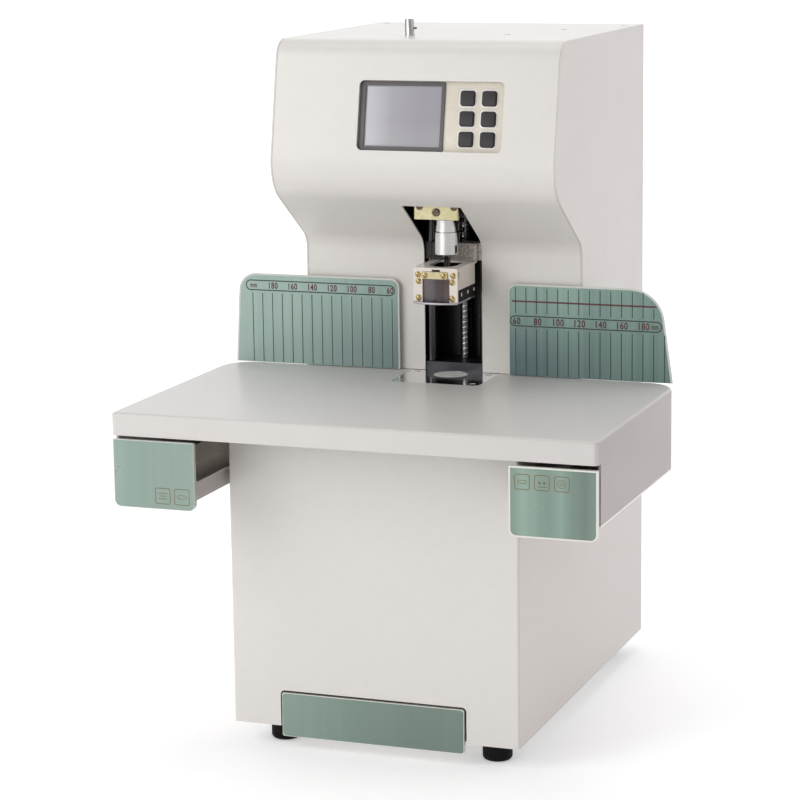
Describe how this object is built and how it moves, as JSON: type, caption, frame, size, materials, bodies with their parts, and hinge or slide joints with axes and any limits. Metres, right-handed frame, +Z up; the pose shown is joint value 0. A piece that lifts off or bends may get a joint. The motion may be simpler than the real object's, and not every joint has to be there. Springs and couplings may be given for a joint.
{
  "type": "document riveting machine",
  "caption": "Free-standing machine that drills a stack of paper and rivets it with plastic tube, with table, scale fences, sprung pressing foot, drill head and drawers.",
  "frame": {"origin": "on the floor under the middle of the machine's overall width and depth", "axes": "+Z up; -Y is the operator's side with the display; +X is to the right of someone facing the display"},
  "size_m": [0.4371, 0.48, 0.636],
  "materials": {
    "ivory_paint": "satin",
    "drawer_paint": "satin",
    "green_film": "gloss",
    "cream_film": "matte",
    "black_rubber": "matte",
    "steel_sheet": "satin",
    "bright_steel": "polished",
    "turned_steel": "satin",
    "dark_steel": "satin",
    "zinc_yellow": "satin",
    "alloy": "satin",
    "motor_black": "satin",
    "bezel_grey": "matte",
    "lcd_glass": "gloss",
    "key_grey": "matte",
    "board_green": "matte",
    "smoke_plastic": "gloss",
    "black_plastic": "matte",
    "cut_plastic": "matte",
    "spring_steel": "satin"
  },
  "bodies": {
    "frame": {"base_shell": "ivory_paint", "base_plate": "steel_sheet", "rubber_feet": "black_rubber", "rear_cover": "ivory_paint", "cover_screws": "turned_steel", "head_cover": "ivory_paint", "head_side_left": "ivory_paint", "head_side_right": "ivory_paint", "work_table": "ivory_paint", "anvil_plate": "bright_steel", "chip_chute": "black_plastic", "left_fence": "ivory_paint", "right_fence": "ivory_paint", "fence_scales": "green_film", "fence_spacers": "alloy", "control_panel": "cream_film", "display_bezel": "bezel_grey", "display_glass": "lcd_glass", "control_board": "board_green", "main_frame": "steel_sheet", "guide_columns": "bright_steel", "lift_motor": "motor_black", "tube_guide": "turned_steel", "tube_guide_screw": "dark_steel", "tube_feeder": "alloy", "drawer_runners": "steel_sheet", "power_inlet": "black_plastic", "power_supply": "steel_sheet"},
    "left_drawer": {"left_drawer_front": "drawer_paint", "left_drawer_tray": "drawer_paint"},
    "right_drawer": {"right_drawer_front": "drawer_paint", "right_drawer_tray": "drawer_paint"},
    "scrap_drawer": {"scrap_drawer_front": "drawer_paint", "scrap_drawer_tray": "steel_sheet"},
    "carriage": {"tool_carriage": "alloy", "carriage_front_plate": "zinc_yellow", "front_plate_screws": "dark_steel", "drill_motor": "motor_black"},
    "spindle": {"drill_chuck": "turned_steel", "hollow_drill": "turned_steel"},
    "lead_screw": {"lift_screw": "turned_steel"},
    "foot": {"foot_frame": "ivory_paint", "foot_screws": "zinc_yellow", "window_bar": "zinc_yellow", "foot_window": "smoke_plastic", "presser_plate": "bright_steel", "guard_rails": "black_plastic", "foot_guide_block": "ivory_paint", "clamp_rod": "turned_steel", "clamp_spring": "spring_steel"},
    "pad": {"cutting_pad": "cut_plastic"},
    "drive_roller": {"feed_roller": "black_rubber"},
    "press_roller": {"pinch_roller": "black_rubber"},
    "rocker": {"power_rocker": "black_plastic"},
    "key_left_top_cap": {"key_left_top": "key_grey"},
    "key_left_middle_cap": {"key_left_middle": "key_grey"},
    "key_left_bottom_cap": {"key_left_bottom": "key_grey"},
    "key_right_top_cap": {"key_right_top": "key_grey"},
    "key_right_middle_cap": {"key_right_middle": "key_grey"},
    "key_right_bottom_cap": {"key_right_bottom": "key_grey"}
  },
  "joints": [
    {"name": "left_drawer_slide", "type": "slide", "parent": "frame", "child": "left_drawer", "axis": [0, -1, 0], "range_m": [0, 0.12]},
    {"name": "right_drawer_slide", "type": "slide", "parent": "frame", "child": "right_drawer", "axis": [0, -1, 0], "range_m": [0, 0.12]},
    {"name": "scrap_drawer_slide", "type": "slide", "parent": "frame", "child": "scrap_drawer", "axis": [0, -1, 0], "range_m": [0, 0.11]},
    {"name": "carriage_lift", "type": "slide", "parent": "frame", "child": "carriage", "axis": [0, 0, -1], "range_m": [0, 0.07]},
    {"name": "lead_screw_spin", "type": "hinge", "parent": "frame", "child": "lead_screw", "pos_m": [0.0045, 0.058, 0.45], "axis": [0, 0, 1], "range_deg": [-2, 2530]},
    {"name": "spindle_spin", "type": "hinge", "parent": "carriage", "child": "spindle", "pos_m": [0.0045, 0.0065, 0.47], "axis": [0, 0, 1], "continuous": true},
    {"name": "foot_clamp", "type": "slide", "parent": "carriage", "child": "foot", "axis": [0, 0, 1], "range_m": [0, 0.036], "stiffness_N_per_m": 600, "springref_m": -0.02, "deforming": ["clamp_spring"]},
    {"name": "cutting_pad_turn", "type": "hinge", "parent": "frame", "child": "pad", "pos_m": [0.0045, 0.0135, 0.311], "axis": [0, 0, 1], "continuous": true},
    {"name": "feed_roller_spin", "type": "hinge", "parent": "frame", "child": "drive_roller", "pos_m": [-0.0482, 0.035, 0.588], "axis": [0, 1, 0], "continuous": true},
    {"name": "pinch_roller_spin", "type": "hinge", "parent": "frame", "child": "press_roller", "pos_m": [-0.0302, 0.035, 0.588], "axis": [0, 1, 0], "continuous": true},
    {"name": "power_rocker_tip", "type": "hinge", "parent": "frame", "child": "rocker", "pos_m": [0.046, 0.23, 0.075], "axis": [1, 0, 0], "range_deg": [0, 14]},
    {"name": "key_left_top_press", "type": "slide", "parent": "frame", "child": "key_left_top_cap", "axis": [0, 0.9811, -0.1934], "range_m": [0, 0.0008], "stiffness_N_per_m": 1200, "springref_m": -0.0003},
    {"name": "key_left_middle_press", "type": "slide", "parent": "frame", "child": "key_left_middle_cap", "axis": [0, 0.9811, -0.1934], "range_m": [0, 0.0008], "stiffness_N_per_m": 1200, "springref_m": -0.0003},
    {"name": "key_left_bottom_press", "type": "slide", "parent": "frame", "child": "key_left_bottom_cap", "axis": [0, 0.9811, -0.1934], "range_m": [0, 0.0008], "stiffness_N_per_m": 1200, "springref_m": -0.0003},
    {"name": "key_right_top_press", "type": "slide", "parent": "frame", "child": "key_right_top_cap", "axis": [0, 0.9811, -0.1934], "range_m": [0, 0.0008], "stiffness_N_per_m": 1200, "springref_m": -0.0003},
    {"name": "key_right_middle_press", "type": "slide", "parent": "frame", "child": "key_right_middle_cap", "axis": [0, 0.9811, -0.1934], "range_m": [0, 0.0008], "stiffness_N_per_m": 1200, "springref_m": -0.0003},
    {"name": "key_right_bottom_press", "type": "slide", "parent": "frame", "child": "key_right_bottom_cap", "axis": [0, 0.9811, -0.1934], "range_m": [0, 0.0008], "stiffness_N_per_m": 1200, "springref_m": -0.0003}
  ],
  "couplings": [
    {"joint": "lead_screw_spin", "follows": "carriage_lift", "rad_per_m": 628.32},
    {"joint": "pinch_roller_spin", "follows": "feed_roller_spin", "ratio": -1}
  ]
}
